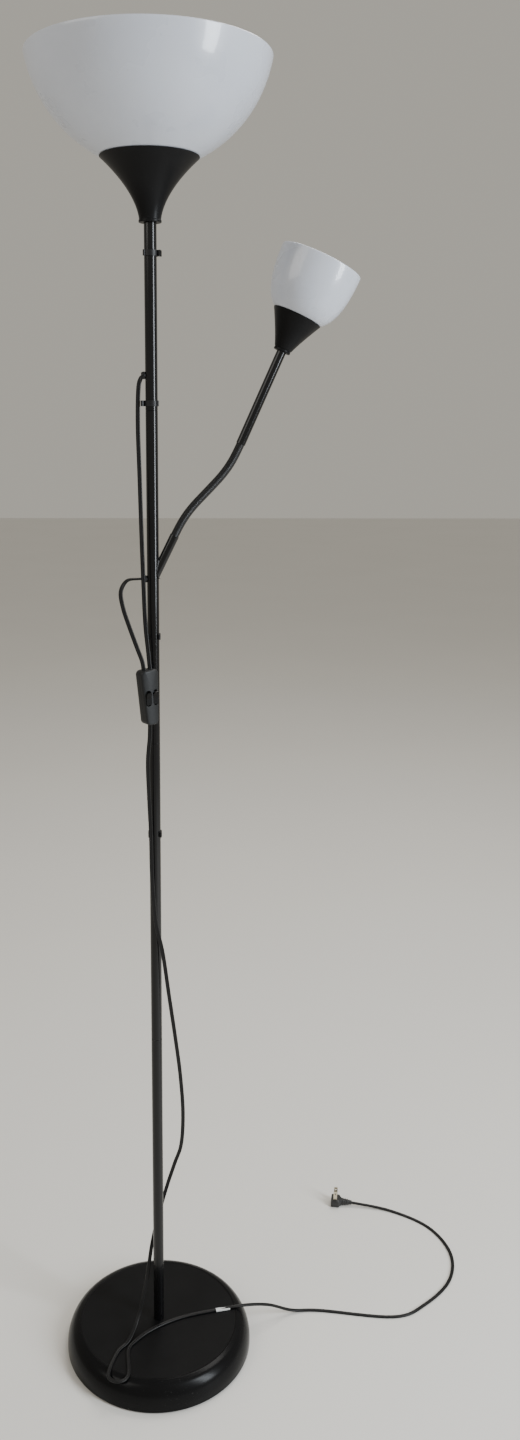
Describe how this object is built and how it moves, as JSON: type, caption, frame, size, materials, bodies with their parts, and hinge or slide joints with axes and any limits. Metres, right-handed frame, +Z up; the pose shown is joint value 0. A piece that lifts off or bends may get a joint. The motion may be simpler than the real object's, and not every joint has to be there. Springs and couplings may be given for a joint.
{
  "type": "torchiere floor lamp",
  "caption": "Black torchiere floor lamp: weighted round base, sectioned pole, open milk-white bowl shade, gooseneck reading lamp and an inline two-rocker switch on its lead.",
  "frame": {"origin": "centre of the base's underside, on the floor, on the pole's axis", "axes": "+Z up along the pole; +X towards the side that the reading lamp's arm leaves on; -Y is the front, where the inline switch hangs"},
  "size_m": [0.6474, 0.4586, 1.8011],
  "materials": {
    "foam_pad": "closed-cell foam, matt",
    "cast_weight": "cast cement, rough",
    "gloss_black_plastic": "moulded, glossy shoulder and fine-textured top",
    "plated_steel": "zinc plated, threaded",
    "black_paint": "black gloss paint on thin steel tube",
    "gooseneck_black": "satin black, finely ribbed",
    "small_black_plastic": "moulded nylon",
    "satin_black_plastic": "moulded, satin",
    "lampholder_ceramic": "glazed",
    "contact_brass": "stamped sheet",
    "milk_plastic": "translucent milk-white, glossy outside",
    "bulb_cap_metal": "rolled screw cap",
    "bulb_glass": "frosted white",
    "switch_plastic": "fine spark-eroded texture",
    "rocker_plastic": "smooth",
    "cord_vinyl": "flat two-core vinyl lead, semi-gloss",
    "tag_film": "blank silver-white film wrapped round the lead",
    "plug_vinyl": "moulded vinyl",
    "blade_brass": "nickel-washed brass",
    "wire_vinyl": "inner lead"
  },
  "bodies": {
    "stand": {"base_pad": "foam_pad", "base_weight": "cast_weight", "base_cover": "gloss_black_plastic", "base_stud": "plated_steel", "base_nut": "plated_steel", "base_washer": "plated_steel", "pole_foot": "plated_steel", "pole_1": "black_paint", "pole_2": "black_paint", "pole_3": "black_paint", "pole_4": "black_paint", "pole_couplings": "plated_steel", "pole_top_bush": "plated_steel", "cord_clips": "small_black_plastic", "bushing_main": "small_black_plastic", "bushing_reading": "small_black_plastic", "arm_tube_lower": "black_paint", "gooseneck_root": "gooseneck_black", "cup_main": "satin_black_plastic", "nipple_main": "plated_steel", "lampholder_main": "lampholder_ceramic", "contact_main": "contact_brass", "shade_ring_main": "satin_black_plastic", "shade_main": "milk_plastic", "bulb_main": "bulb_glass", "bulb_cap_main": "bulb_cap_metal", "switch_front": "switch_plastic", "switch_back": "switch_plastic", "switch_contacts": "contact_brass", "switch_screws": "plated_steel", "cord_main": "cord_vinyl", "cord_reading": "cord_vinyl", "cord_mains": "cord_vinyl", "cord_tag": "tag_film", "plug_body": "plug_vinyl", "plug_blades": "blade_brass", "wire_main": "wire_vinyl", "wire_reading": "wire_vinyl"},
    "neck_link_1": {"gooseneck_1": "gooseneck_black"},
    "neck_link_2": {"gooseneck_2": "gooseneck_black"},
    "neck_link_3": {"gooseneck_3": "gooseneck_black"},
    "neck_link_4": {"gooseneck_4": "gooseneck_black"},
    "neck_link_5": {"gooseneck_5": "gooseneck_black"},
    "neck_link_6": {"gooseneck_6": "gooseneck_black"},
    "neck_link_7": {"gooseneck_7": "gooseneck_black"},
    "reading_head": {"gooseneck_end": "gooseneck_black", "arm_tube_upper": "black_paint", "cup_reading": "satin_black_plastic", "nipple_reading": "plated_steel", "lampholder_reading": "lampholder_ceramic", "contact_reading": "contact_brass", "shade_ring_reading": "satin_black_plastic", "shade_reading": "milk_plastic", "bulb_reading": "bulb_glass", "bulb_cap_reading": "bulb_cap_metal", "wire_head": "wire_vinyl"},
    "main_rocker": {"rocker_main": "rocker_plastic"},
    "reading_rocker": {"rocker_reading": "rocker_plastic"}
  },
  "joints": [
    {"name": "neck_bend_1", "type": "hinge", "parent": "stand", "child": "neck_link_1", "pos_m": [0.03244, 0, 1.24651], "axis": [0, 1, 0], "range_deg": [-4, 18]},
    {"name": "neck_swing_1", "type": "hinge", "parent": "neck_link_1", "child": "neck_link_2", "pos_m": [0.04149, 0, 1.26219], "axis": [0.829, 0, -0.5592], "range_deg": [-15, 15]},
    {"name": "neck_bend_2", "type": "hinge", "parent": "neck_link_2", "child": "neck_link_3", "pos_m": [0.05263, 0, 1.27645], "axis": [0, 1, 0], "range_deg": [-4, 18]},
    {"name": "neck_swing_2", "type": "hinge", "parent": "neck_link_3", "child": "neck_link_4", "pos_m": [0.06521, 0, 1.28947], "axis": [0.7193, 0, -0.6947], "range_deg": [-15, 15]},
    {"name": "neck_bend_3", "type": "hinge", "parent": "neck_link_4", "child": "neck_link_5", "pos_m": [0.07778, 0, 1.30249], "axis": [0, 1, 0], "range_deg": [-4, 18]},
    {"name": "neck_swing_3", "type": "hinge", "parent": "neck_link_5", "child": "neck_link_6", "pos_m": [0.09012, 0, 1.31573], "axis": [0.7716, 0, -0.6361], "range_deg": [-15, 15]},
    {"name": "neck_bend_4", "type": "hinge", "parent": "neck_link_6", "child": "neck_link_7", "pos_m": [0.10076, 0, 1.33037], "axis": [0, 1, 0], "range_deg": [-4, 18]},
    {"name": "neck_swing_4", "type": "hinge", "parent": "neck_link_7", "child": "reading_head", "pos_m": [0.10926, 0, 1.34635], "axis": [0.8988, 0, -0.4384], "range_deg": [-15, 15]},
    {"name": "main_rocker_press", "type": "hinge", "parent": "stand", "child": "main_rocker", "pos_m": [0.0006, -0.02727, 1.03029], "axis": [0.818, 0.5728, 0.0523], "range_deg": [-18, 0]},
    {"name": "reading_rocker_press", "type": "hinge", "parent": "stand", "child": "reading_rocker", "pos_m": [-0.0084, -0.03357, 1.02971], "axis": [0.818, 0.5728, 0.0523], "range_deg": [-18, 0]}
  ]
}
